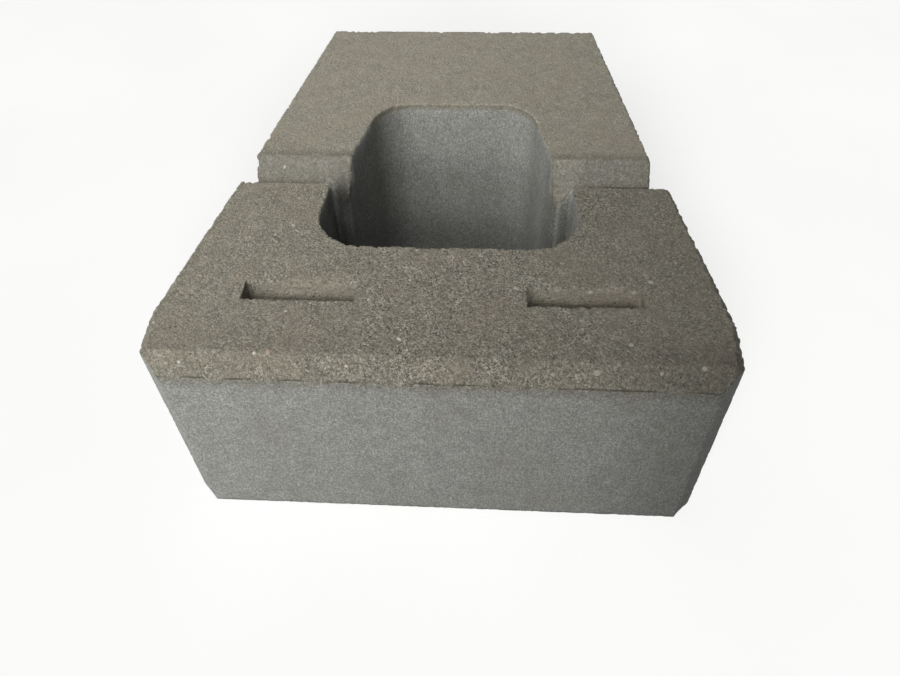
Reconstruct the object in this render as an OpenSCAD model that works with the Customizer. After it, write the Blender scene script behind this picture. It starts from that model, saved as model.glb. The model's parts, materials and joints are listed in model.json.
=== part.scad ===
// Retaining-wall facing block, one piece of dry-cast concrete.
// It lies on its underside as it is laid: front face towards -Y, tail towards +Y.
// The origin is the middle of the underside's box, and lengths are millimetres.

/* [Block] */
// Widest width, across the front part
block_w = 460; // [430:1:500]
// Depth, front face to back face
block_d = 484; // [450:1:560]
// Height of the front part's top above the floor
front_h = 198; // [150:1:250]

/* [Front part] */
// Depth of the front part, front face to shoulder
front_d = 225; // [215:1:245]
// Width across the upright front corners, behind their chamfers
corner_w = 454; // [430:1:500]
// Depth from the front face to the widest place
flare_d = 48; // [30:1:80]
// Width across the rear corners of the front part
shoulder_w = 405; // [385:1:430]
// Radius of the rear corners of the front part
shoulder_r = 8; // [2:0.5:12]
// Chamfer of the two upright front corners
corner_chamfer = 15; // [5:1:25]
// Chamfer along the front top edge
top_chamfer = 14; // [5:1:25]
// Chamfer along the top edges between the front corners and the widest place
flare_chamfer = 6; // [1:0.5:10]
// Chamfer along the top edges of the tapered sides
side_chamfer = 4; // [1:0.5:8]

/* [Tail] */
// Width of the tail at the foot of the step
tail_w = 365; // [330:1:375]
// Width of the back face
back_w = 295; // [250:1:330]
// Height of the tail's top above the front part's top
step_rise = 24; // [15:1:35]
// How far the step face leans back over its rise
step_run = 12; // [4:1:24]
// Chamfer along the top edges of the tail's sides
tail_chamfer = 2; // [1:0.5:8]

/* [Core] */
// How far the core reaches forward from the step's foot, to its front wall
core_ahead = 88; // [75:1:100]
// How far the core reaches back from the step's foot, to its rear wall
core_behind = 103; // [85:1:130]
// Widest width, across the two wings
wing_w = 232; // [220:1:250]
// Width across the rear corners of the wings
wing_rear_w = 226; // [215:1:240]
// Radius of the front corners of the wings
wing_r = 45; // [20:1:50]
// Width at the neck, behind the wings
neck_w = 194; // [180:1:205]
// How far the neck stands in front of the step's foot
neck_set = 11; // [6:1:20]
// Radius of the two noses of concrete at the neck
neck_r = 6; // [2:0.5:8]
// Width across the rear part's rounded corners
core_rear_w = 160; // [140:1:170]
// Radius of the rear corners
core_r = 36; // [20:1:45]

/* [Slots] */
// Length of each slot, across the block
slot_l = 92; // [60:1:110]
// Width of each slot, front to back
slot_w = 20; // [10:1:30]
// Depth of each slot below the front part's top
slot_depth = 30; // [10:1:60]
// Depth from the front face to the slots' front walls
slot_d = 70; // [50:1:90]
// Space between the inner ends of the two slots
slot_gap = 138; // [100:1:170]

/* [Hidden] */
$fn = 96;

front_y = -block_d / 2;
back_y = block_d / 2;
step_y = front_y + front_d;
tail_h = front_h + step_rise;

// Margin by which a cutter passes the faces it opens
past = 10;
// How far the tail runs into the front part, so that the two are one
tail_root = 3 * neck_set;
// How far the step face is carried on below the front part's top, so that it passes the neck
step_below = 2 * neck_set * step_rise / step_run;

core_front_y = step_y - core_ahead;
core_back_y = step_y + core_behind;
wing_centre = [wing_w / 2 - wing_r, core_front_y + wing_r];
core_rear_centre = [core_rear_w / 2 - core_r, core_back_y - core_r];
wing_rear = [wing_rear_w / 2, step_y];
neck = [neck_w / 2, step_y - neck_set];

function unit(v) = v / norm(v);
function turned(v, angle) = [
    v.x * cos(angle) - v.y * sin(angle),
    v.x * sin(angle) + v.y * cos(angle)
];
function mirrored(points) = [for (i = [len(points) - 1:-1:0]) [-points[i].x, points[i].y]];
// Where the line from p touches a circle, on the side that the sign gives
function touch(p, centre, r, side) =
    let (d = norm(centre - p), reach = sqrt(d * d - r * r))
    p + reach * unit(turned(centre - p, side * asin(r / d)));

// The round of radius r that replaces the corner at p, with sides towards a and b:
// where it leaves the first side, its centre, and where it meets the second side
function fillet(p, a, b, r) =
    let (u = unit(a - p), v = unit(b - p), half = acos(u * v) / 2, reach = r / tan(half))
    [p + reach * u, p + unit(u + v) * r / sin(half), p + reach * v];

module both_sides() {
    children();
    mirror([1, 0, 0]) children();
}

// A round, drawn a hair large so that the straight walls beside it cross it and don't graze it
module round_at(centre, r) {
    swell = 1.002;
    translate(centre) circle(r * swell);
}

// Right-hand side of the front part: front face, upright corner, widest place and rear corner
face_end = [corner_w / 2 - corner_chamfer, front_y];
front_corner = [corner_w / 2, front_y + corner_chamfer];
widest = [block_w / 2, front_y + flare_d];
shoulder = [shoulder_w / 2, step_y];
shoulder_round = fillet(shoulder, widest, [0, step_y], shoulder_r);
front_side = [face_end, front_corner, widest, shoulder_round[0], shoulder_round[2]];

module front_plan() {
    polygon(concat(front_side, mirrored(front_side)));
    both_sides() round_at(shoulder_round[1], shoulder_r);
}

// Right-hand side of the tail, which starts inside the front part
tail_slope = (tail_w - back_w) / 2 / (back_y - step_y);
tail_side = [
    [tail_w / 2 + tail_slope * tail_root, step_y - tail_root],
    [back_w / 2, back_y]
];

module tail_plan() {
    polygon(concat(tail_side, mirrored(tail_side)));
}

// Everything in front of the step face, from below the neck to above the tail
module front_of_step() {
    lean = step_run / step_rise;
    low = front_h - step_below;
    high = tail_h + past;
    rotate([90, 0, 90])
        linear_extrude(block_w, center = true)
            polygon([
                [step_y - lean * step_below, low],
                [step_y + lean * (step_rise + past), high],
                [front_y - past, high],
                [front_y - past, low]
            ]);
}

// The tail's top at its full height, cut back along the step face
module tail_body() {
    difference() {
        linear_extrude(tail_h) tail_plan();
        front_of_step();
    }
}

// Takes a chamfer off the top edge from p to q, with the outside on the right of that way
module edge_cut(p, q, z, size) {
    run = q - p;
    reach = 2 * size;
    translate([p.x, p.y, z])
        rotate(atan2(run.y, run.x))
            rotate([45, 0, 0])
                translate([-reach, -reach, -size / sqrt(2)])
                    cube([norm(run) + 2 * reach, 2 * reach, 2 * reach]);
}

module edge_cuts() {
    edge_cut([-block_w / 2, front_y], [block_w / 2, front_y], front_h, top_chamfer);
    both_sides() {
        edge_cut(front_corner, widest, front_h, flare_chamfer);
        edge_cut(widest, shoulder, front_h, side_chamfer);
        edge_cut(tail_side[0], tail_side[1], tail_h, tail_chamfer);
    }
}

// Right-hand side of the core: a round-ended wing, the nose of concrete at the neck, and the rear part
wing_touch = touch(wing_rear, wing_centre, wing_r, 1);
rear_touch = touch(neck, core_rear_centre, core_r, -1);
nose = fillet(neck, wing_rear, rear_touch, neck_r);
core_side = [
    [wing_centre.x, core_front_y],
    wing_touch,
    wing_rear,
    nose[0],
    nose[1],
    nose[2],
    rear_touch,
    [core_rear_centre.x, core_back_y]
];

module core_plan() {
    difference() {
        polygon(concat(core_side, mirrored(core_side)));
        both_sides() round_at(nose[1], neck_r);
    }
    both_sides() {
        round_at(wing_centre, wing_r);
        round_at(core_rear_centre, core_r);
    }
}

// The rear walls of the wings are laid back in the plane of the step face
module neck_relief() {
    over = [0, 2];
    edge = [neck - over, wing_rear - over, wing_rear + over];
    intersection() {
        linear_extrude(tail_h) polygon(concat(edge, mirrored(edge)));
        front_of_step();
    }
}

module core_cut() {
    translate([0, 0, -past]) linear_extrude(tail_h + 2 * past) core_plan();
    neck_relief();
}

module slot_cuts() {
    both_sides()
        translate([slot_gap / 2, front_y + slot_d, front_h - slot_depth])
            cube([slot_l, slot_w, slot_depth + past]);
}

module concrete_block() {
    color("#77756f")
        difference() {
            union() {
                linear_extrude(front_h) front_plan();
                tail_body();
            }
            edge_cuts();
            core_cut();
            slot_cuts();
        }
}

concrete_block();
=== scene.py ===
import json
import math
import random

import bmesh
import bpy
from mathutils import Euler, Matrix, Vector, kdtree, noise
from mathutils.bvhtree import BVHTree


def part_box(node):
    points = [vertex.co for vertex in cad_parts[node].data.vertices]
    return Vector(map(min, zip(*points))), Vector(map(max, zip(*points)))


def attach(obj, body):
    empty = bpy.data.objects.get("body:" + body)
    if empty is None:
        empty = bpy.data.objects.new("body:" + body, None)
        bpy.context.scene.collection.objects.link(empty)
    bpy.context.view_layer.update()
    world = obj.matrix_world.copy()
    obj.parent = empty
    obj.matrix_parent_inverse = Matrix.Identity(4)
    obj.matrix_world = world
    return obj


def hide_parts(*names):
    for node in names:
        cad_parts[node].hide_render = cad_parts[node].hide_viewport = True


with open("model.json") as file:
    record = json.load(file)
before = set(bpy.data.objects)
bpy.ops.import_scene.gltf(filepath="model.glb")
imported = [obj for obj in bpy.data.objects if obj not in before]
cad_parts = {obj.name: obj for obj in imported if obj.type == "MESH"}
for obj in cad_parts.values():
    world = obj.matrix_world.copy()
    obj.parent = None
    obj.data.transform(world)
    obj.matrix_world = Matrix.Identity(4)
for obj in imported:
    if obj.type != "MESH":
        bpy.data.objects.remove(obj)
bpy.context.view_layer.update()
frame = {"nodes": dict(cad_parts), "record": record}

# Sizes: Blender works in metres, and real sizes below are written in millimetres
MM = 0.001
NODE = "concrete_block"
BLOCK_LOW, BLOCK_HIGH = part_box(NODE)
MOUNTS = {mount["name"]: Vector(mount["pos_m"]) for mount in frame["record"]["mounts"]}
OPENINGS = {gap["name"]: gap["box_m"] for gap in frame["record"]["physics"]["openings"]}
SLOTS = [OPENINGS["left_slot"], OPENINGS["right_slot"]]
CORE = [OPENINGS[name] for name in ("core", "core_wings", "core_front", "core_rear")]
FRONT_TOP = MOUNTS["front_top"].z
TAIL_TOP = MOUNTS["tail_top"].z
# Height and depth of the chamfer along the front top edge
CHAMFER = 14 * MM

# How far a vertex may lie from a face's plane and still be on it, in a strict and in a lenient test
ON_FACE, NEAR_FACE = 0.5 * MM, 1 * MM
# How far the walls of a slot, and those of the core, lie at most from the boxes of their openings
SLOT_MARGIN, CORE_MARGIN = 2 * MM, 30 * MM
# The part of a face's normal past which the face looks up, down, forwards or to the right
LOOKS_UP, LOOKS_DOWN, LOOKS_FORWARD, LOOKS_RIGHT = 0.3, -0.5, -0.5, 0.3

# How each face was made: pressed by the tamper head, struck by the mould's walls, or cast on the pallet
TAMPED, STRUCK, PALLET = range(3)

# Side of the squares that each kind of face is cut into, so that it can carry relief.
# The plain flanks and back, past these places, are cut coarser than the front face and the core
PITCH = {TAMPED: 2.0 * MM, STRUCK: 3.0 * MM, PALLET: 16.0 * MM}
FLANK_PITCH = 5.0 * MM
FLANK_FROM, BACK_FROM = 140 * MM, 200 * MM
# The block is cut slab by slab, because each cut slows with the size of the mesh it is made in
SLAB = 30.0 * MM
WELD, MERGE = 0.005 * MM, 0.01 * MM
FLAT = math.radians(0.3)

# The soft rims: how far from the arris they are rounded, how often they are smoothed,
# and how far down the wall the top's open texture fades out, between the places where the wings begin
RIM_ROUND, RIM_PASSES = 8 * MM, 10
SLOT_ROUND, SLOT_PASSES = 12 * MM, 40
RIM_SMOOTH, ARRIS_SMOOTH = 0.5, 0.3
RIM_FADE = 13 * MM
RIM_ENDS = (97 * MM, 102 * MM)
# The rims of the core that crumbled: the rear one, from a place behind the front of the core's rear part,
# and the neck's, by its width, its reach ahead of the wings' back and round their box, and its height
REAR_RIM_BEHIND = 5 * MM
NECK_ASIDE, NECK_AHEAD, NECK_MARGIN, NECK_HIGH = 90 * MM, 2 * MM, 22 * MM, 30 * MM

# An edge sharper than this is an arris, which wears. Grains stand out along it, and others are lost:
# more and bigger ones at the rims of the top than elsewhere, in millimetres, up to a reach from the arris
ARRIS_ANGLE = math.radians(20)
RIM_CRUMB, EDGE_CRUMB = 4.8, 1.2
RIM_BULGE, EDGE_BULGE = 0.8, 0.2
CRUMB_REACH = 4 * MM
# Width of the lost grains and the wider chips in millimetres, the chips' share, and how common losses are
CRUMB_WIDE, CHIP_WIDE = 3.8, 11
CHIP_SHARE, CRUMB_BIAS, CRUMB_MOST = 0.5, 0.15, 0.55

# Relief in millimetres: the width of its broad hollows and of the gaps between grains, how deep both are
# on the tamped faces, and how deep the hollows are on the struck ones
HOLLOW_WIDE, GAP_WIDE = 14, 4.2
TAMPED_HOLLOW, TAMPED_GAP, STRUCK_HOLLOW = 0.35, 0.7, 0.15

# How open the tamped grain is: close behind this distance from the front part's middle and in the slots,
# looser on the front part and loosest along its middle, in clumps
CLOSE_GRAIN, CLOSE_BEHIND = 0.45, 140 * MM
LOOSE_GRAIN, MIDDLE_LOOSER, MIDDLE_REACH = 0.7, 0.35, 170 * MM
CLUMPING, CLUMP_WIDE = 0.4, 15 * MM

# The seam was dragged down the front face as the mould was drawn off: how far, how much that varies
# and over what length, and how far above and below it the concrete went along
SEAM_DROP, SEAM_WAVER, SEAM_WAVE = 2.5 * MM, 1.2 * MM, 18 * MM
SEAM_REACH = 14 * MM
# How much of the top's warm paste was smeared down the front face under the seam, and how far
SEAM_SMEAR, SEAM_SMEAR_DOWN = 0.62, 32 * MM

# Camera, at the photograph's place and angle
IMAGE_WIDE, IMAGE_HIGH = 900, 676
CAMERA_AT = Vector((39.0, -582.2, 611.4)) * MM
CAMERA_DOWN = 47.807
CAMERA_LEFT = 4.447
CAMERA_ROLL = -1.703
LENS = 29.46
SENSOR = 36.0
VIEW = (Matrix.Translation(CAMERA_AT)
        @ Matrix.Rotation(math.radians(CAMERA_LEFT), 4, "Z")
        @ Matrix.Rotation(math.radians(90 - CAMERA_DOWN), 4, "X")
        @ Matrix.Rotation(math.radians(CAMERA_ROLL), 4, "Z"))
camera_data = bpy.data.cameras.new("camera")
camera_data.sensor_width = SENSOR
camera_data.lens = LENS
camera = bpy.data.objects.new("camera", camera_data)
camera.matrix_world = VIEW
bpy.context.scene.collection.objects.link(camera)
bpy.context.scene.camera = camera
bpy.context.scene.view_settings.view_transform = "Standard"


def sight(across, down):
    """The way from the camera through a pixel of the photograph."""
    focal = IMAGE_WIDE * LENS / SENSOR
    ray = Vector(((across - IMAGE_WIDE / 2) / focal, (IMAGE_HIGH / 2 - down) / focal, -1))
    return VIEW.to_3x3() @ ray


# Colours and nodes
def linear(hex_colour):
    """An sRGB hex colour as linear red, green, blue and alpha."""
    parts = [int(hex_colour[i:i + 2], 16) / 255 for i in (1, 3, 5)]
    return [c / 12.92 if c <= 0.04045 else ((c + 0.055) / 1.055) ** 2.4 for c in parts] + [1.0]


def add(tree, kind, inputs=None, stops=None, **settings):
    """Adds a node with its settings; inputs holds a value or another node's output for each socket.

    The sockets of Math and Mix nodes go by number. Of a Mix node, 0 is the share of the second value,
    2 and 3 are its numbers, and 6 and 7 are its colours. Stops are the places and colours of a ramp.
    """
    made = tree.nodes.new("ShaderNode" + kind)
    for name, value in settings.items():
        setattr(made, name, value)
    for socket, value in (inputs or {}).items():
        if isinstance(value, bpy.types.NodeSocket):
            tree.links.new(value, made.inputs[socket])
        else:
            made.inputs[socket].default_value = value
    for place, colour in stops or []:
        ramp = made.color_ramp.elements
        end = ramp[0] if place <= 0 else ramp[-1] if place >= 1 else ramp.new(place)
        end.color = colour
    return made


def new_material(name):
    """A material with no nodes yet, and its node tree."""
    made = bpy.data.materials.new(name)
    made.use_nodes = True
    made.node_tree.nodes.clear()
    return made, made.node_tree


# Materials
# Widths in the concrete: its sand grains, the streaks on its struck walls, the clouds of browner sand
# and of cement, and the ragged edge where the top's open texture ends
FINE_SAND, SAND = 0.9 * MM, 1.9 * MM
STREAK_WIDE, STREAK_LONG = 1.6 * MM, 4 * MM
BROWN_CLOUD, CEMENT_CLOUD = 45 * MM, 14 * MM
RAGGED_EDGE = 3 * MM
# How high its grains stand
FINE_SAND_HIGH, SAND_HIGH = 0.4 * MM, 0.8 * MM
# Specks in the concrete: spacing and radius in millimetres, share of places that have one, and colour
PALE_SAND = (7.0, 0.6, 0.25, "#aaa596")
PALE_GRAVEL = (15.0, 1.2, 0.25, "#bdb8aa")
BROWN_GRAVEL = (24.0, 1.3, 0.25, "#957a68")
OPEN_PORE = (6.0, 0.7, 0.28, "#3f3c35")


def dry_cast_concrete():
    """Dry-cast concrete: damp sand and fine gravel with little cement, rammed into a steel mould.

    The tamped top is open and grainy, a warm olive grey. The struck walls are closed by cement paste,
    so they are finer, bluer and faintly streaked upwards, the way the mould was drawn off.
    """
    made, tree = new_material("dry_cast_concrete")
    place = add(tree, "TexCoord").outputs["Object"]

    # Where the top's open texture gives way to the struck wall's, with a ragged edge
    tamped = add(tree, "Attribute", attribute_name="tamped").outputs["Fac"]
    ragged = add(tree, "TexNoise", {"Vector": place, "Scale": 1 / RAGGED_EDGE,
                                    "Detail": 2.0}).outputs["Fac"]
    torn = add(tree, "Math", {0: ragged, 1: 0.5, 2: tamped}, operation="MULTIPLY_ADD").outputs["Value"]
    top = add(tree, "MapRange", {"Value": torn, "From Min": 0.55, "From Max": 0.95}).outputs["Result"]

    # Sand grains in two sizes, each with a tone of its own, and more contrast where the texture is open
    fine_sand = add(tree, "TexVoronoi", {"Vector": place, "Scale": 1 / FINE_SAND})
    sand = add(tree, "TexVoronoi", {"Vector": place, "Scale": 1 / SAND})
    fine_tone = add(tree, "SeparateColor", {"Color": fine_sand.outputs["Color"]}).outputs["Red"]
    sand_draw = add(tree, "SeparateColor", {"Color": sand.outputs["Color"]})
    tone = add(tree, "Mix", {0: 0.4, 2: fine_tone, 3: sand_draw.outputs["Red"]},
               data_type="FLOAT").outputs[0]
    open_grain = add(tree, "Attribute", attribute_name="open_grain").outputs["Fac"]
    off_mean = add(tree, "Math", {0: tone, 1: 0.5}, operation="SUBTRACT").outputs["Value"]
    spread = add(tree, "Math", {0: off_mean, 1: open_grain, 2: 0.5},
                 operation="MULTIPLY_ADD").outputs["Value"]
    tamped_colour = add(tree, "ValToRGB", {"Fac": spread}, stops=[
        (0.0, linear("#44423b")), (0.5, linear("#7c796d")), (1.0, linear("#b4b0a2"))]).outputs["Color"]
    brown_grain = add(tree, "MapRange", {"Value": sand_draw.outputs["Green"], "From Min": 0.7,
                                         "To Max": 0.5}).outputs["Result"]
    tamped_colour = add(tree, "Mix", {0: brown_grain, 6: tamped_colour, 7: linear("#847561")},
                        data_type="RGBA").outputs[2]

    # Paste over the sand of the struck walls, with faint streaks drawn upwards with the mould
    stretch = (1 / STREAK_WIDE, 1 / STREAK_WIDE, 1 / STREAK_LONG)
    drawn = add(tree, "Mapping", {"Vector": place, "Scale": stretch}).outputs["Vector"]
    streak = add(tree, "TexNoise", {"Vector": drawn, "Scale": 1.0, "Detail": 3.0}).outputs["Fac"]
    paste_tone = add(tree, "Mix", {0: 0.6, 2: fine_tone, 3: streak}, data_type="FLOAT").outputs[0]
    struck_colour = add(tree, "ValToRGB", {"Fac": paste_tone}, stops=[
        (0.0, linear("#585955")), (0.5, linear("#959690")), (1.0, linear("#d0d0ca"))]).outputs["Color"]
    colour = add(tree, "Mix", {0: top, 6: struck_colour, 7: tamped_colour}, data_type="RGBA").outputs[2]

    # Clouds of browner sand, half hidden by paste on the struck walls, and of more or less cement
    cloud = add(tree, "TexNoise", {"Vector": place, "Scale": 1 / BROWN_CLOUD,
                                   "Detail": 3.0}).outputs["Fac"]
    most_brown = add(tree, "MapRange", {"Value": top, "To Min": 0.2, "To Max": 0.4}).outputs["Result"]
    brown = add(tree, "MapRange", {"Value": cloud, "From Min": 0.45, "From Max": 0.75,
                                   "To Max": most_brown}).outputs["Result"]
    colour = add(tree, "Mix", {0: brown, 6: colour, 7: linear("#857b6d")}, data_type="RGBA").outputs[2]
    cement = add(tree, "TexNoise", {"Vector": place, "Scale": 1 / CEMENT_CLOUD,
                                    "Detail": 4.0}).outputs["Fac"]
    shade = add(tree, "MapRange", {"Value": cement, "From Min": 0.3, "From Max": 0.7,
                                   "To Min": 0.92, "To Max": 1.07}).outputs["Result"]
    # The pale mark scales the colour: the concrete's own tone in places, and painted light and shade on the
    # slots, the tail, the step, the core and the right front corner
    pale = add(tree, "Attribute", attribute_name="pale").outputs["Fac"]
    shade = add(tree, "Math", {0: shade, 1: pale}, operation="MULTIPLY").outputs["Value"]
    colour = add(tree, "Mix", {0: 1.0, 6: colour, 7: shade}, data_type="RGBA",
                 blend_type="MULTIPLY").outputs[2]

    # Specks: paste hides most of them on the struck walls
    bare = add(tree, "MapRange", {"Value": top, "To Min": 0.35, "To Max": 1.0}).outputs["Result"]
    for spacing, radius, share, tint in (OPEN_PORE, BROWN_GRAVEL, PALE_SAND, PALE_GRAVEL):
        spots = add(tree, "TexVoronoi", {"Vector": place, "Scale": 1 / (spacing * MM)})
        chance = add(tree, "SeparateColor", {"Color": spots.outputs["Color"]})
        there = add(tree, "Math", {0: chance.outputs["Red"], 1: share},
                    operation="LESS_THAN").outputs["Value"]
        edge = radius / spacing
        size = add(tree, "MapRange", {"Value": chance.outputs["Green"], "To Min": 0.5 * edge,
                                      "To Max": 1.5 * edge}).outputs["Result"]
        disc = add(tree, "MapRange", {"Value": spots.outputs["Distance"], "From Min": size,
                                      "From Max": 0.0, "To Max": 2.0}).outputs["Result"]
        spot = add(tree, "Math", {0: disc, 1: there}, operation="MULTIPLY").outputs["Value"]
        seen = add(tree, "Math", {0: spot, 1: bare}, operation="MULTIPLY", use_clamp=True).outputs["Value"]
        colour = add(tree, "Mix", {0: seen, 6: colour, 7: linear(tint)}, data_type="RGBA").outputs[2]

    # Dark lines: the seam where the tamper head met the front wall of the mould, and the edges of the step,
    # of which the one along the step's foot is painted shade in its crease
    line = add(tree, "Attribute", attribute_name="dark_line").outputs["Fac"]
    line_edge = add(tree, "MapRange", {"Value": line, "From Min": 0.45, "From Max": 1.1,
                                       "To Max": 0.7}).outputs["Result"]
    colour = add(tree, "Mix", {0: line_edge, 6: colour, 7: linear("#3d3b35")}, data_type="RGBA").outputs[2]

    # Grains stand up as rounded bumps, closed over by paste on the struck walls
    grain_share = add(tree, "MapRange", {"Value": top, "To Min": 0.4, "To Max": 1.0}).outputs["Result"]
    bump = None
    for grains, height in ((fine_sand, FINE_SAND_HIGH), (sand, SAND_HIGH)):
        swell = add(tree, "Math", {0: grains.outputs["Distance"], 1: grain_share},
                    operation="MULTIPLY").outputs["Value"]
        below = {"Normal": bump} if bump else {}
        bump = add(tree, "Bump", {"Height": swell, "Strength": 0.6, "Distance": height} | below,
                   invert=True).outputs["Normal"]

    shader = add(tree, "BsdfPrincipled", {"Base Color": colour, "Roughness": 0.93, "IOR": 1.5,
                                          "Specular IOR Level": 0.3, "Normal": bump})
    add(tree, "OutputMaterial", {"Surface": shader.outputs["BSDF"]})
    return made


# Tones of single grains and stones, as places on the ramp of their colours
MEAN_TONE, FILMED_TONE = 0.42, 0.68
PINK_TONE, TAN_TONE, PALE_TONE, WHITE_TONE = 0.76, 0.84, 0.92, 1.0
# Width and height of the specks on a grain
GRAIN_SPECK, GRAIN_SPECK_HIGH = 0.8 * MM, 0.2 * MM


def sand_and_gravel():
    """Washed sand and fine gravel: rounded grains, most filmed with grey paste, some bare and pale."""
    made, tree = new_material("sand_and_gravel")
    tone = add(tree, "Attribute", attribute_name="tone").outputs["Fac"]
    place = add(tree, "TexCoord").outputs["Object"]
    speck = add(tree, "TexNoise", {"Vector": place, "Scale": 1 / GRAIN_SPECK,
                                   "Detail": 2.0}).outputs["Fac"]
    colour = add(tree, "ValToRGB", {"Fac": tone}, stops=[
        (0.0, linear("#504c44")), (0.35, linear("#7b776b")), (FILMED_TONE, linear("#969180")),
        (PINK_TONE, linear("#948171")), (TAN_TONE, linear("#a79a87")), (PALE_TONE, linear("#a8a396")),
        (WHITE_TONE, linear("#c6c2b7"))]).outputs["Color"]
    shade = add(tree, "MapRange", {"Value": speck, "From Min": 0.3, "From Max": 0.7,
                                   "To Min": 0.8, "To Max": 1.1}).outputs["Result"]
    toned = add(tree, "Mix", {0: 1.0, 6: colour, 7: shade}, data_type="RGBA",
                blend_type="MULTIPLY").outputs[2]
    bump = add(tree, "Bump", {"Height": speck, "Strength": 0.4,
                              "Distance": GRAIN_SPECK_HIGH}).outputs["Normal"]
    shader = add(tree, "BsdfPrincipled", {"Base Color": toned, "Roughness": 0.85, "IOR": 1.54,
                                          "Specular IOR Level": 0.35, "Normal": bump})
    add(tree, "OutputMaterial", {"Surface": shader.outputs["BSDF"]})
    return made


# Width of the roller's marks in the floor's paint
ROLLER_MARK = 300 * MM


def pale_floor_paint():
    """Matt white paint on a studio floor, with the faintest unevenness of a rolled coat."""
    made, tree = new_material("pale_floor_paint")
    place = add(tree, "TexCoord").outputs["Object"]
    roll = add(tree, "TexNoise", {"Vector": place, "Scale": 1 / ROLLER_MARK, "Detail": 2.0}).outputs["Fac"]
    colour = add(tree, "ValToRGB", {"Fac": roll}, stops=[
        (0.0, linear("#f0f0ee")), (1.0, linear("#f6f6f5"))]).outputs["Color"]
    shader = add(tree, "BsdfPrincipled", {"Base Color": colour, "Roughness": 0.9, "IOR": 1.5,
                                          "Specular IOR Level": 0.2})
    add(tree, "OutputMaterial", {"Surface": shader.outputs["BSDF"]})
    return made


# The cast block
def inside(point, gap, margin=SLOT_MARGIN):
    """Whether a point lies in an opening's box, or within a margin of it."""
    return all(gap[0][i] - margin <= point[i] <= gap[1][i] + margin for i in range(3))


def finish_of(face):
    """How a face was made, by the way it faces; the slots were pressed in with the top."""
    if face.normal.z < LOOKS_DOWN:
        return PALLET
    centre = face.calc_center_median()
    if face.normal.z > LOOKS_UP or any(inside(centre, slot) for slot in SLOTS):
        return TAMPED
    return STRUCK


def pitch_of(face, finish):
    """The side of the squares that a face is cut into."""
    centre = face.calc_center_median()
    flank = abs(centre.x) > FLANK_FROM or centre.y > BACK_FROM
    return FLANK_PITCH if finish == STRUCK and flank and face.normal.y > LOOKS_FORWARD else PITCH[finish]


def facing(face):
    """The axis that a face looks along most."""
    return max(range(3), key=lambda axis: abs(face.normal[axis]))


def everything(bm):
    """All the vertices, edges and faces of a bmesh."""
    return bm.verts[:] + bm.edges[:] + bm.faces[:]


def slab_of(solid, low, high):
    """The part of a solid's skin between two upright planes across the block."""
    part = solid.copy()
    for place, way in ((low, 1), (high, -1)):
        bmesh.ops.bisect_plane(part, geom=everything(part), dist=WELD, plane_co=(0, place, 0),
                               plane_no=(0, way, 0), clear_inner=True)
    return part


def cut_in_squares(bm, faces, dropped_axis, pitch):
    """Cuts faces along planes a pitch apart, across the two axes that they extend in."""
    verts = {vert for face in faces for vert in face.verts}
    edges = {edge for face in faces for edge in face.edges}
    geometry = faces + sorted(edges, key=lambda e: e.index) + sorted(verts, key=lambda v: v.index)
    for axis in range(3):
        if axis == dropped_axis:
            continue
        normal = Vector([1.0 if i == axis else 0.0 for i in range(3)])
        places = [vert.co[axis] for vert in geometry if isinstance(vert, bmesh.types.BMVert)]
        for step in range(math.ceil(min(places) / pitch), math.floor(max(places) / pitch) + 1):
            geometry = bmesh.ops.bisect_plane(
                bm, geom=geometry, dist=WELD, plane_co=normal * step * pitch, plane_no=normal)["geom"]


def cast_block():
    """A copy of the CAD solid, merged and cut into squares, with each face's making kept in a layer."""
    solid = bmesh.new()
    solid.from_mesh(frame["nodes"][NODE].data)
    bmesh.ops.remove_doubles(solid, verts=solid.verts, dist=MERGE)
    bmesh.ops.dissolve_limit(solid, angle_limit=FLAT, verts=solid.verts, edges=solid.edges)
    making = solid.faces.layers.int.new("making")
    pitches = solid.faces.layers.float.new("pitch")
    for face in solid.faces:
        face[making] = finish_of(face)
        face[pitches] = pitch_of(face, face[making])
    joined = bmesh.new()
    joined.faces.layers.int.new("making")
    joined.faces.layers.float.new("pitch")
    slab_mesh = bpy.data.meshes.new("slab")
    for step in range(math.floor(BLOCK_LOW[1] / SLAB), math.ceil(BLOCK_HIGH[1] / SLAB)):
        part = slab_of(solid, step * SLAB, (step + 1) * SLAB)
        part_pitches = part.faces.layers.float["pitch"]
        part.verts.index_update()
        part.edges.index_update()
        groups = {}
        for face in part.faces:
            groups.setdefault((face[part_pitches], facing(face)), []).append(face)
        for (pitch, axis), faces in sorted(groups.items(), key=lambda item: item[0]):
            cut_in_squares(part, faces, axis, pitch)
        part.to_mesh(slab_mesh)
        part.free()
        joined.from_mesh(slab_mesh)
    bpy.data.meshes.remove(slab_mesh)
    bmesh.ops.remove_doubles(joined, verts=joined.verts, dist=WELD)
    bmesh.ops.triangulate(joined, faces=[face for face in joined.faces if len(face.verts) > 4])
    joined.normal_update()
    return joined, joined.faces.layers.int["making"]


# How faces look, in Y and Z, where two of them meet in a dark line
UPWARDS = (0.0, 1.0)
STEP_WAY = (-0.9, 0.4)
FRONT_WAY = (-1.0, 0.0)
CHAMFER_WAY = (-0.7, 0.7)
# How dark each line is, and how much it comes and goes along its length. The line along the step's foot is
# painted shade in its crease
SEAM_DARK = 1.4
STEP_FOOT_SHADE = 1.6
STEP_TOP_DARK = 0.9
LINE_MEAN, LINE_WAVER, LINE_WAVE = 0.65, 0.9, 22 * MM


def ways_of(vert):
    """The ways that the faces round a vertex look, in Y and Z."""
    return {(round(face.normal.y, 1), round(face.normal.z, 1)) for face in vert.link_faces}


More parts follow.
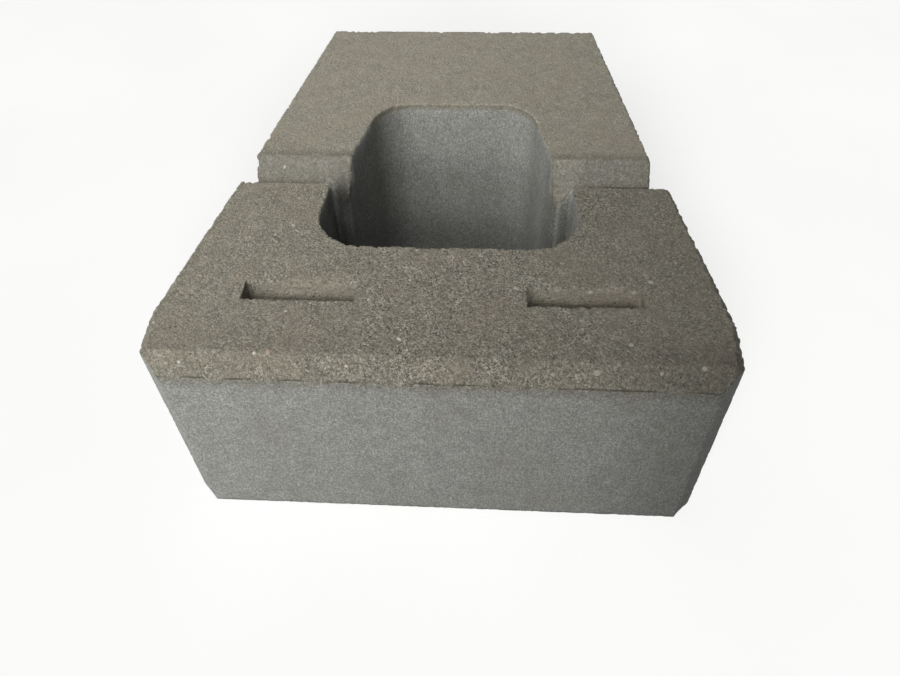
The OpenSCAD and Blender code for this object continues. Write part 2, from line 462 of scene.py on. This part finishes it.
def line_at(vert, ways):
    """How dark a line runs through a vertex."""
    if {FRONT_WAY, CHAMFER_WAY} <= ways:
        dark = SEAM_DARK
    elif {UPWARDS, STEP_WAY} <= ways:
        dark = STEP_FOOT_SHADE if vert.co.z < TAIL_TOP - NEAR_FACE else STEP_TOP_DARK
    else:
        return 0.0
    return max(0.0, dark * (LINE_MEAN + LINE_WAVER * noise.noise(vert.co / LINE_WAVE)))


# How pale each part of the skin is, as a share of the front top's paleness. Where a tone is given for left
# and right, it goes over from one to the other between these places
LEFT_TO_RIGHT = (-150 * MM, 150 * MM)
# The tail's top is paler than the front top, and painted paler still towards its right as painted light,
# where the window's light fades
TAIL_LEFT_PALE, TAIL_RIGHT_PALE = 1.12, 1.33
# The tail's top is darker along the ridge of the step
RIDGE_PALE, RIDGE_REACH = 0.7, 11 * MM
# The slots' rear walls carry painted light, paler the deeper they lie, down to the front lip's painted
# shadow low on the wall, in millimetres
SLOT_HIGH_PAINTED_LIGHT, SLOT_LOW_PAINTED_LIGHT, SLOT_LIP_SHADOW = 1.08, 2.1, 1.2
SLOT_LIGHT_DOWN, SLOT_SHADOW_DOWN = (1, 15), (17, 19)
# Painted shade darkens the right front corner, where the light fades, and the worn chamfer on the right
# side's top edge, which faces away from the light
CORNER_SHADE, CORNER_ASIDE, CORNER_AHEAD = 0.38, (120 * MM, 232 * MM), (195 * MM, 235 * MM)
EDGE_SHADE, EDGE_HIGH = 0.4, 5 * MM

# The step was closed by the paste that the tamper head's side drew along it. It is paler beside the right
# nose of the core's neck. Painted shade darkens it towards its foot and on its left, and more along its
# foot outside the wings
STEP_TAMPED = 0.6
STEP_HIGH_PALE, STEP_LOW_PALE = 0.96, 0.86
STEP_LEFT_SHADE, STEP_RIGHT_SHADE = 0.84, 0.98
NECK_PALE, NECK_PALE_FROM, NECK_PALE_TO = 1.2, (93 * MM, 98 * MM), (112 * MM, 124 * MM)
FOOT_LEFT_SHADE, FOOT_RIGHT_SHADE = 0.48, 0.66
FOOT_HIGH, FOOT_ASIDE = 5 * MM, (114 * MM, 124 * MM)

# Painted shade in the core: how much darker it is below its rim, low down and on its left, which looks away
# from the light; towards the right it fades out.
# A pair says where a tone sets in and where it is full, in millimetres to the side, to the back or down
CORE_HIGH_SHADE, CORE_LOW_SHADE, CORE_SHADE_DOWN, CORE_LOW_DOWN = 0.1, 0.32, (4, 12), (50, 180)
CORE_LEFT_SHADE, CORE_LEFT_ASIDE, CORE_LEFT_DOWN = 0.47, (50, 95), (0, 7)
CORE_RIGHT_UNSHADED = (80, 100)
# The two noses at the neck carry painted shade, the left one less so low down.
# Two pairs say where a tone comes and where it goes
LEFT_NOSE_SHADE, LEFT_NOSE_LOW_SHADE = 0.68, 0.35
LEFT_NOSE_ASIDE, LEFT_NOSE_BACK = ((95, 99), (107, 112)), ((-38, -32), (-12, -4))
LEFT_NOSE_DOWN, LEFT_NOSE_LOW_DOWN = (-9, 3), (18, 40)
RIGHT_NOSE_SHADE, RIGHT_NOSE_ASIDE = 0.46, ((85, 98), (98, 101))
RIGHT_NOSE_BACK, RIGHT_NOSE_DOWN = (2, 20), (8, 18)
# The rear corner of the left wing is paler than the rest of the left, and that of the right wing darker
LEFT_WING_PALE, RIGHT_WING_PALE = 1.2, 0.88
LEFT_WING_ASIDE, LEFT_WING_BACK, LEFT_WING_DOWN = (102, 110), (-50, -34), (15, 30)
RIGHT_WING_ASIDE, RIGHT_WING_BACK, RIGHT_WING_DOWN = (107, 111), (-40, -30), (4, 14)


def fade(value, start, end):
    """0 up to the start, rising evenly to 1 at the end."""
    return min(1.0, max(0.0, (value - start) / (end - start)))


def band(value, rise, fall):
    """0 outside a band and 1 within it, coming in along the rise and going out along the fall."""
    return fade(value, *rise) * (1 - fade(value, *fall))


def blend(low, high, share):
    """From the low value to the high one, by a share between 0 and 1."""
    return low + (high - low) * share


def on_slot_back(point):
    """Whether a point lies on the rear wall or the right end of a slot, which face the light."""
    return any(inside(point, slot) and (point.y > slot[1][1] or point.x > slot[1][0])
               and point.z < FRONT_TOP - NEAR_FACE for slot in SLOTS)


def left_nose_painted_shade(x, y, depth):
    """How much painted shade darkens the nose on the left of the core's neck, by its place in millimetres.
    """
    near = band(-x, *LEFT_NOSE_ASIDE) * band(y, *LEFT_NOSE_BACK)
    painted_shade = blend(LEFT_NOSE_SHADE, LEFT_NOSE_LOW_SHADE, fade(depth, *LEFT_NOSE_LOW_DOWN))
    return near * fade(depth, *LEFT_NOSE_DOWN) * painted_shade


def core_paleness(point, ridge):
    """How pale the core's walls are: painted shade low down, on the left and at the neck's noses."""
    x, y, _ = point / MM
    depth = ((TAIL_TOP if point.y > ridge else FRONT_TOP) - point.z) / MM
    painted_shade = blend(CORE_HIGH_SHADE, CORE_LOW_SHADE, fade(depth, *CORE_LOW_DOWN)) * fade(depth, *CORE_SHADE_DOWN)
    left = fade(-x, *CORE_LEFT_ASIDE) * fade(depth, *CORE_LEFT_DOWN)
    right_nose = band(x, *RIGHT_NOSE_ASIDE) * (1 - fade(y, *RIGHT_NOSE_BACK))
    right_nose *= fade(depth, *RIGHT_NOSE_DOWN)
    left_wing = fade(-x, *LEFT_WING_ASIDE) * fade(y, *LEFT_WING_BACK) * fade(depth, *LEFT_WING_DOWN)
    right_wing = fade(x, *RIGHT_WING_ASIDE) * fade(y, *RIGHT_WING_BACK) * fade(depth, *RIGHT_WING_DOWN)
    tone = (1 - painted_shade * (1 - fade(x, *CORE_RIGHT_UNSHADED))) * (1 - CORE_LEFT_SHADE * left)
    tone *= (1 - left_nose_painted_shade(x, y, depth)) * (1 - RIGHT_NOSE_SHADE * right_nose)
    return tone * blend(1.0, LEFT_WING_PALE, left_wing) * blend(1.0, RIGHT_WING_PALE, right_wing)


def step_paleness(point, across):
    """How pale the step's face is: painted shade at the left nose, on its left and along its foot, paler at
    the right nose.
    """
    x, y, z = point
    tone = blend(STEP_LOW_PALE, STEP_HIGH_PALE, fade(z, FRONT_TOP, TAIL_TOP))
    tone *= blend(STEP_LEFT_SHADE, STEP_RIGHT_SHADE, across)
    tone *= 1 - left_nose_painted_shade(x / MM, y / MM, (FRONT_TOP - z) / MM)
    tone *= blend(1.0, NECK_PALE, band(x, NECK_PALE_FROM, NECK_PALE_TO))
    at_foot = (1 - fade(z, FRONT_TOP, FRONT_TOP + FOOT_HIGH)) * fade(abs(x), *FOOT_ASIDE)
    return blend(tone, blend(FOOT_LEFT_SHADE, FOOT_RIGHT_SHADE, across), at_foot)


def paleness(vert, ways, ridge):
    """How pale the skin is: the tail is paler, with painted light on its right and on the slots' rear
    walls, and painted shade along the step, in the core and at the front right corner.
    """
    x, y, z = vert.co
    across = fade(x, *LEFT_TO_RIGHT)
    # Painted light on a slot's rear wall, ending in the front lip's painted shadow low down
    if on_slot_back(vert.co):
        depth = (FRONT_TOP - z) / MM
        lit = blend(SLOT_HIGH_PAINTED_LIGHT, SLOT_LOW_PAINTED_LIGHT, fade(depth, *SLOT_LIGHT_DOWN))
        return blend(lit, SLOT_LIP_SHADOW, fade(depth, *SLOT_SHADOW_DOWN))
    if z > TAIL_TOP - ON_FACE:
        behind = fade(y, ridge, ridge + RIDGE_REACH)
        return blend(TAIL_LEFT_PALE, TAIL_RIGHT_PALE, across) * blend(RIDGE_PALE, 1.0, behind)
    if STEP_WAY in ways and z > FRONT_TOP - ON_FACE:
        return step_paleness(vert.co, across)
    if any(inside(vert.co, opening, CORE_MARGIN) for opening in CORE):
        return core_paleness(vert.co, ridge)
    # Painted shade at the right front corner and along the right side's top edge
    corner = fade(x, *CORNER_ASIDE) * fade(-y, *CORNER_AHEAD)
    on_edge = vert.normal.x > LOOKS_RIGHT and z > FRONT_TOP - EDGE_HIGH and y < ridge
    return (1 - CORNER_SHADE * corner) * (1 - EDGE_SHADE if on_edge else 1)


def smear(point):
    """How much of the top's warm paste was dragged down a place on the front face."""
    below = FRONT_TOP - CHAMFER - point.z
    return SEAM_SMEAR * (1 - fade(below, 0, SEAM_SMEAR_DOWN))


def openness(point):
    """How open the tamped grain is: loosest in the middle of the front part, closest on the tail."""
    if point.y > MOUNTS["front_top"].y + CLOSE_BEHIND or on_slot_back(point):
        return CLOSE_GRAIN
    clump = 1 + CLUMPING * noise.noise(point / CLUMP_WIDE)
    return clump * (LOOSE_GRAIN + MIDDLE_LOOSER * max(0.0, 1 - abs(point.x) / MIDDLE_REACH))


def arris(vert):
    """Whether a vertex lies on a sharp edge."""
    return any(edge.calc_face_angle(0) > ARRIS_ANGLE for edge in vert.link_edges)


def on_core_rim(vert):
    """Whether an arris of the core crumbled round as the mould was drawn: the rear rim and the neck."""
    x, y, z = vert.co
    rear = OPENINGS["core_rear"]
    wings = OPENINGS["core_wings"]
    at_rear = y > rear[0][1] + REAR_RIM_BEHIND and inside(vert.co, rear, CORE_MARGIN)
    at_neck = y > wings[1][1] - NECK_AHEAD and abs(x) > NECK_ASIDE and inside(vert.co, wings, NECK_MARGIN)
    return (at_rear and z > TAIL_TOP - NEAR_FACE
            or at_neck and FRONT_TOP - NECK_HIGH < z < FRONT_TOP - NEAR_FACE)


def on_slot_rim(vert):
    """Whether an arris is a slot's rear rim, which slumped between its ends as the tamper was drawn up."""
    x, y, z = vert.co
    on_top = abs(z - FRONT_TOP) < NEAR_FACE
    return on_top and any(inside(vert.co, slot) and y > slot[1][1]
                          and slot[0][0] + SLOT_ROUND < x < slot[1][0] - SLOT_ROUND for slot in SLOTS)


def tree_of(verts):
    """The places of some vertices, for finding the nearest one."""
    tree = kdtree.KDTree(len(verts))
    for i, vert in enumerate(verts):
        tree.insert(vert.co, i)
    tree.balance()
    return tree


def smooth(bm, verts, factor):
    """Moves vertices towards the middle of their neighbours, once."""
    bmesh.ops.smooth_vert(bm, verts=verts, factor=factor, use_axis_x=True, use_axis_y=True, use_axis_z=True)


def soften(bm, arrises):
    """Rounds every arris a little and the soft rims more; gives back the places of the core's soft rims."""
    core_rims = tree_of([vert for vert in arrises if on_core_rim(vert)])
    slot_rims = tree_of([vert for vert in arrises if on_slot_rim(vert)])
    for rims, reach, passes in ((core_rims, RIM_ROUND, RIM_PASSES), (slot_rims, SLOT_ROUND, SLOT_PASSES)):
        near = [vert for vert in bm.verts if rims.find(vert.co)[2] < reach]
        for _ in range(passes):
            smooth(bm, near, RIM_SMOOTH)
    smooth(bm, arrises, ARRIS_SMOOTH)
    return core_rims


def in_box(point):
    """A point, brought back to the block's box where it lies past it."""
    return Vector([min(max(point[i], BLOCK_LOW[i]), BLOCK_HIGH[i]) for i in range(3)])


# What each vertex is marked with for its material: how tamped it is, how open its grain is,
# how dark a line runs through it, and how pale it is
MARKS = ("tamped", "open_grain", "dark_line", "pale")


def mark(bm, making):
    """Marks the skin for its material; gives back the vertices beside the seam, with their heights."""
    tamped, open_grain, dark_line, pale = [bm.verts.layers.float[name] for name in MARKS]
    ridge = min(vert.co.y for vert in bm.verts if vert.co.z > TAIL_TOP - ON_FACE)
    by_seam = []
    for vert in bm.verts:
        finishes = {face[making] for face in vert.link_faces}
        ways = ways_of(vert)
        vert[tamped] = 1.0 if TAMPED in finishes else 0.0
        if ways == {STEP_WAY}:
            vert[tamped] = STEP_TAMPED
        vert[open_grain] = openness(vert.co)
        vert[dark_line] = line_at(vert, ways)
        vert[pale] = paleness(vert, ways, ridge)
        if vert.co.y < BLOCK_LOW[1] + CHAMFER and ways & {FRONT_WAY, CHAMFER_WAY}:
            by_seam.append((vert, vert.co.z))
            vert[tamped] = max(vert[tamped], smear(vert.co))
    return by_seam


def relief(spot, top, grain):
    """How deep the skin lies at a place in millimetres, by how tamped it is and how open its grain is."""
    hollow = 0.5 + 0.5 * noise.fractal(spot / HOLLOW_WIDE, 1.0, 2.0, 3)
    gap = 0.5 + 0.5 * noise.noise(spot / GAP_WIDE)
    return (TAMPED_HOLLOW * hollow + TAMPED_GAP * grain * gap) * top + STRUCK_HOLLOW * hollow * (1 - top)


def wear(spot, on_rim):
    """How much of an arris is lost at a place in millimetres, below zero where a grain stands out."""
    lost, bulge = (RIM_CRUMB, RIM_BULGE) if on_rim else (EDGE_CRUMB, EDGE_BULGE)
    crumb = noise.noise(spot / CRUMB_WIDE) + CHIP_SHARE * noise.noise(spot / CHIP_WIDE) + CRUMB_BIAS
    crumb = min(CRUMB_MOST, max(0.0, crumb))
    return lost * crumb * crumb - bulge


def roughen(bm, making):
    """Wears the arrises and gives each face its relief, within the block's box, so it keeps its size."""
    for name in MARKS:
        bm.verts.layers.float.new(name)
    tamped, open_grain, dark_line, _ = [bm.verts.layers.float[name] for name in MARKS]
    arrises = [vert for vert in bm.verts if arris(vert)]
    by_seam = mark(bm, making)
    rim_tree = soften(bm, arrises)
    arris_tree = tree_of(arrises)
    bm.normal_update()
    moves = [(vert, vert.normal.copy()) for vert in bm.verts]
    for vert, normal in moves:
        spot = vert.co / MM
        off_wing = 1 - fade(abs(vert.co.x), *RIM_ENDS)
        vert[tamped] = max(vert[tamped], off_wing * (1 - rim_tree.find(vert.co)[2] / RIM_FADE))
        depth = relief(spot, vert[tamped], vert[open_grain])
        _, nearest, gap = arris_tree.find(vert.co)
        if gap < CRUMB_REACH:
            on_rim = arrises[nearest][tamped] >= 1 and not arrises[nearest][dark_line]
            depth += wear(spot, on_rim) * (1 - gap / CRUMB_REACH)
        vert.co = in_box(vert.co - normal * depth * MM)
    seam = FRONT_TOP - CHAMFER
    for vert, height in by_seam:
        drop = SEAM_DROP + SEAM_WAVER * noise.noise(Vector((vert.co.x / SEAM_WAVE, 0, 0)))
        vert.co.z -= drop * max(0.0, 1 - abs(height - seam) / SEAM_REACH)


def shown(bm, name, material):
    """Makes a piece from a bmesh, shaded smooth, riding on the block's body, with the material it is given.
    """
    mesh = bpy.data.meshes.new(name)
    bm.to_mesh(mesh)
    mesh.materials.append(material)
    mesh.shade_smooth()
    piece = bpy.data.objects.new(name, mesh)
    bpy.context.scene.collection.objects.link(piece)
    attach(piece, "root")
    return piece


# Grit on the tamped faces. The power makes small grains commoner than big ones
GRAIN_COUNT, GRAIN_SEED = 6500, 31
GRAIN_SIZE, GRAIN_SIZE_POWER = (0.55, 1.5), 2.5
# Share of its radius that a grain's middle lies below the face
GRAIN_BED, STONE_BED = 0.3, 0.35
# The nose on the left of the neck shows no bare grains where its painted shade is stronger than this
NOSE_GRAIN_SHADE = 0.2
# A grain's half-axes as shares of its radius, and how far it is tilted from the face, in radians
GRAIN_LONG, GRAIN_WIDE, GRAIN_HIGH = (0.8, 1.2), (0.7, 1.0), (0.5, 0.8)
GRAIN_TILT = 0.4
# How often the balls are subdivided
GRAIN_ROUNDS, STONE_ROUNDS = 1, 2
# Grains are made in batches, because each one made slows with the size of the mesh it joins
GRAIN_BATCH = 100

# Stones that stand out, by the pixel of the photograph that each is seen at and its radius in millimetres
WHITE_STONES = [
    (254, 353, 1.8), (399, 339, 2.3), (286, 311, 1.6), (346, 366, 1.6), (179, 362, 1.6)]
TAN_STONES = [(268, 351, 3.2), (327, 116, 3.6), (176, 396, 1.8), (184, 393, 1.8)]
PALE_STONES = [
    (705, 369, 3.2), (598, 373, 3.0), (632, 345, 2.8), (590, 293, 2.8), (300, 130, 3.8), (613, 106, 3.0),
    (634, 294, 2.4), (662, 374, 2.0), (553, 375, 2.2), (294, 225, 2.8), (651, 282, 2.8), (605, 95, 3.0),
    (538, 39, 3.0), (516, 288, 2.8), (577, 304, 2.2), (285, 167, 2.0)]
PINK_STONES = [(553, 342, 2.2), (724, 316, 2.4), (618, 118, 3.4), (238, 275, 2.0)]
STONES = (
    (WHITE_STONES, WHITE_TONE), (TAN_STONES, TAN_TONE), (PALE_STONES, PALE_TONE), (PINK_STONES, PINK_TONE))


def grain_matrix(draw, spot, normal, radius, bed):
    """Where a grain lies: bedded in a face, squashed, and turned at random about the face's normal."""
    sunk = spot - normal * bed * radius
    reach = GRAIN_LONG[1] * radius
    sunk.y = min(max(sunk.y, BLOCK_LOW[1] + reach), BLOCK_HIGH[1] - reach)
    sunk.z = min(sunk.z, BLOCK_HIGH[2] - reach)
    upright = normal.to_track_quat("Z", "Y").to_matrix().to_4x4()
    tilts = [draw.uniform(-GRAIN_TILT, GRAIN_TILT) for _ in range(2)]
    turn = Euler((*tilts, draw.uniform(0, math.tau)))
    shape = Matrix.Diagonal([draw.uniform(*share) for share in (GRAIN_LONG, GRAIN_WIDE, GRAIN_HIGH)] + [1])
    return Matrix.Translation(sunk) @ upright @ turn.to_matrix().to_4x4() @ shape @ Matrix.Scale(radius, 4)


def lay_grains(bm, grains, subdivisions):
    """Adds a ball for each matrix and tone."""
    tone = bm.verts.layers.float["tone"]
    for matrix, shade in grains:
        made = bmesh.ops.create_icosphere(bm, subdivisions=subdivisions, radius=1.0, matrix=matrix)
        for vert in made["verts"]:
            vert[tone] = shade


def stones_seen(draw, block):
    """The stones that stand out, each where its pixel's line of sight meets the block."""
    skin = BVHTree.FromBMesh(block)
    stones = []
    for kind, shade in STONES:
        for across, down, radius in kind:
            spot, normal, _, _ = skin.ray_cast(CAMERA_AT, sight(across, down))
            stones.append((grain_matrix(draw, spot, normal, radius * MM, STONE_BED), shade))
    return stones


def scatter_grit(block, making):
    """Grains bedded in the tamped faces, each a squashed ball of its own size, turn and tone."""
    draw = random.Random(GRAIN_SEED)
    faces = [face for face in block.faces if face[making] == TAMPED]
    seats = draw.choices(faces, weights=[face.calc_area() for face in faces], k=GRAIN_COUNT)
    grains = []
    for seat in seats:
        radius = blend(*GRAIN_SIZE, draw.random() ** GRAIN_SIZE_POWER) * MM
        spot = seat.calc_center_median().lerp(draw.choice(seat.verts).co, draw.random())
        matrix = grain_matrix(draw, spot, seat.normal, radius, GRAIN_BED)
        tone = blend(MEAN_TONE, draw.random(), openness(spot))
        x, y, z = spot / MM
        if left_nose_painted_shade(x, y, FRONT_TOP / MM - z) < NOSE_GRAIN_SHADE:
            grains.append((matrix, tone if tone < FILMED_TONE or tone > PALE_TONE else FILMED_TONE))
    joined = bmesh.new()
    joined.verts.layers.float.new("tone")
    lay_grains(joined, stones_seen(draw, block), STONE_ROUNDS)
    batch_mesh = bpy.data.meshes.new("batch")
    for first in range(0, len(grains), GRAIN_BATCH):
        batch = bmesh.new()
        batch.verts.layers.float.new("tone")
        lay_grains(batch, grains[first:first + GRAIN_BATCH], GRAIN_ROUNDS)
        batch.to_mesh(batch_mesh)
        batch.free()
        joined.from_mesh(batch_mesh)
    bpy.data.meshes.remove(batch_mesh)
    return joined


# Build
block_mesh, block_making = cast_block()
roughen(block_mesh, block_making)
block_mesh.normal_update()
grit_mesh = scatter_grit(block_mesh, block_making)
block = shown(block_mesh, "cast_block", dry_cast_concrete())
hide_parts(NODE)
grit = shown(grit_mesh, "tamped_grit", sand_and_gravel())

# Floor. It throws no light back on the block, whose walls would look too bright over so pale a floor
FLOOR_SIDE = 8.0
floor_mesh = bmesh.new()
bmesh.ops.create_grid(floor_mesh, x_segments=1, y_segments=1, size=FLOOR_SIDE / 2)
floor_data = bpy.data.meshes.new("floor")
floor_mesh.to_mesh(floor_data)
floor_data.materials.append(pale_floor_paint())
floor = bpy.data.objects.new("floor", floor_data)
floor.visible_diffuse = False
bpy.context.scene.collection.objects.link(floor)

# Light, in metres and watts
SKY = 0.16
world = bpy.data.worlds.new("studio")
bpy.context.scene.world = world
world.use_nodes = True
sky = world.node_tree.nodes["Background"].inputs
sky["Color"].default_value = linear("#f6f8fa")
sky["Strength"].default_value = SKY


def light_on(receivers, name, kind, place, aim, power, **settings):
    """A lamp at a place, turned to what it is aimed at, that lights only the objects it is given."""
    data = bpy.data.lights.new(name, kind)
    data.energy = power
    for setting, value in settings.items():
        setattr(data, setting, value)
    lamp = bpy.data.objects.new(name, data)
    lamp.location = place
    lamp.rotation_euler = (aim - place).to_track_quat("-Z", "Y").to_euler()
    bpy.context.scene.collection.objects.link(lamp)
    lit = bpy.data.collections.new("lit_by_" + name)
    for receiver in receivers:
        lit.objects.link(receiver)
    lamp.light_linking.receiver_collection = lit


# A big soft window, made up of panes over the front and left of the block: how many degrees each pane is up
# and to the left, with each row staggered, and how the light falls off from the window's middle
PANES_UP = (12, 32, 52, 72)
PANES_LEFT = (-8, 12, 32, 52, 72)
PANE_STAGGER = 5
WINDOW_UP, WINDOW_LEFT = 60, 24
SPREAD_UP, SPREAD_LEFT = 37, 40
WINDOW_FAR, WINDOW_POWER, PANE_RADIUS = 3.5, 775, 0.4
# The soft edge of their beams crosses the block, so that the light fades towards the front right corner
BLOCK_MIDDLE = Vector((0, 0, 0.1))
BEAM_AIM = Vector((-0.58, 0.37, 0.1))
BEAM_REACH, BEAM_SOFT = 1.051, 0.58
# Two lamps fill the shadows on the back, and a hazy sun washes the floor alone
FILL_ASIDE, FILL_BEHIND, FILL_UP = 1.6, 2.6, 0.5
FILL_POWER, FILL_SIZE = 30, 1.2
SUN_FROM = Vector((0, -1, 0.84))
SUN_POWER, SUN_HAZE = 4.5, math.radians(50)

panes = {}
for row, up in enumerate(PANES_UP):
    for column in PANES_LEFT:
        left = column + PANE_STAGGER * row
        off = ((up - WINDOW_UP) / SPREAD_UP) ** 2 + ((left - WINDOW_LEFT) / SPREAD_LEFT) ** 2
        panes[up, left] = math.exp(-off / 2) * math.cos(math.radians(up))
beam_angle = 2 * math.atan(BEAM_REACH / WINDOW_FAR)
for (up, left), share in panes.items():
    turn = Euler((0, math.radians(90 - up), math.radians(-90 - left)))
    way = turn.to_matrix() @ Vector((0, 0, 1))
    power = WINDOW_POWER * share / sum(panes.values())
    place = BLOCK_MIDDLE + way * WINDOW_FAR
    light_on([block, grit], f"window_{up}_{left}", "SPOT", place, BEAM_AIM, power,
             spot_size=beam_angle, spot_blend=BEAM_SOFT, shadow_soft_size=PANE_RADIUS)
for side in (-1, 1):
    light_on([block, grit], f"rear_fill_{side}", "AREA", Vector((FILL_ASIDE * side, FILL_BEHIND, FILL_UP)),
             BLOCK_MIDDLE, FILL_POWER, size=FILL_SIZE)
light_on([floor], "floor_wash", "SUN", SUN_FROM, Vector(), SUN_POWER, angle=SUN_HAZE)
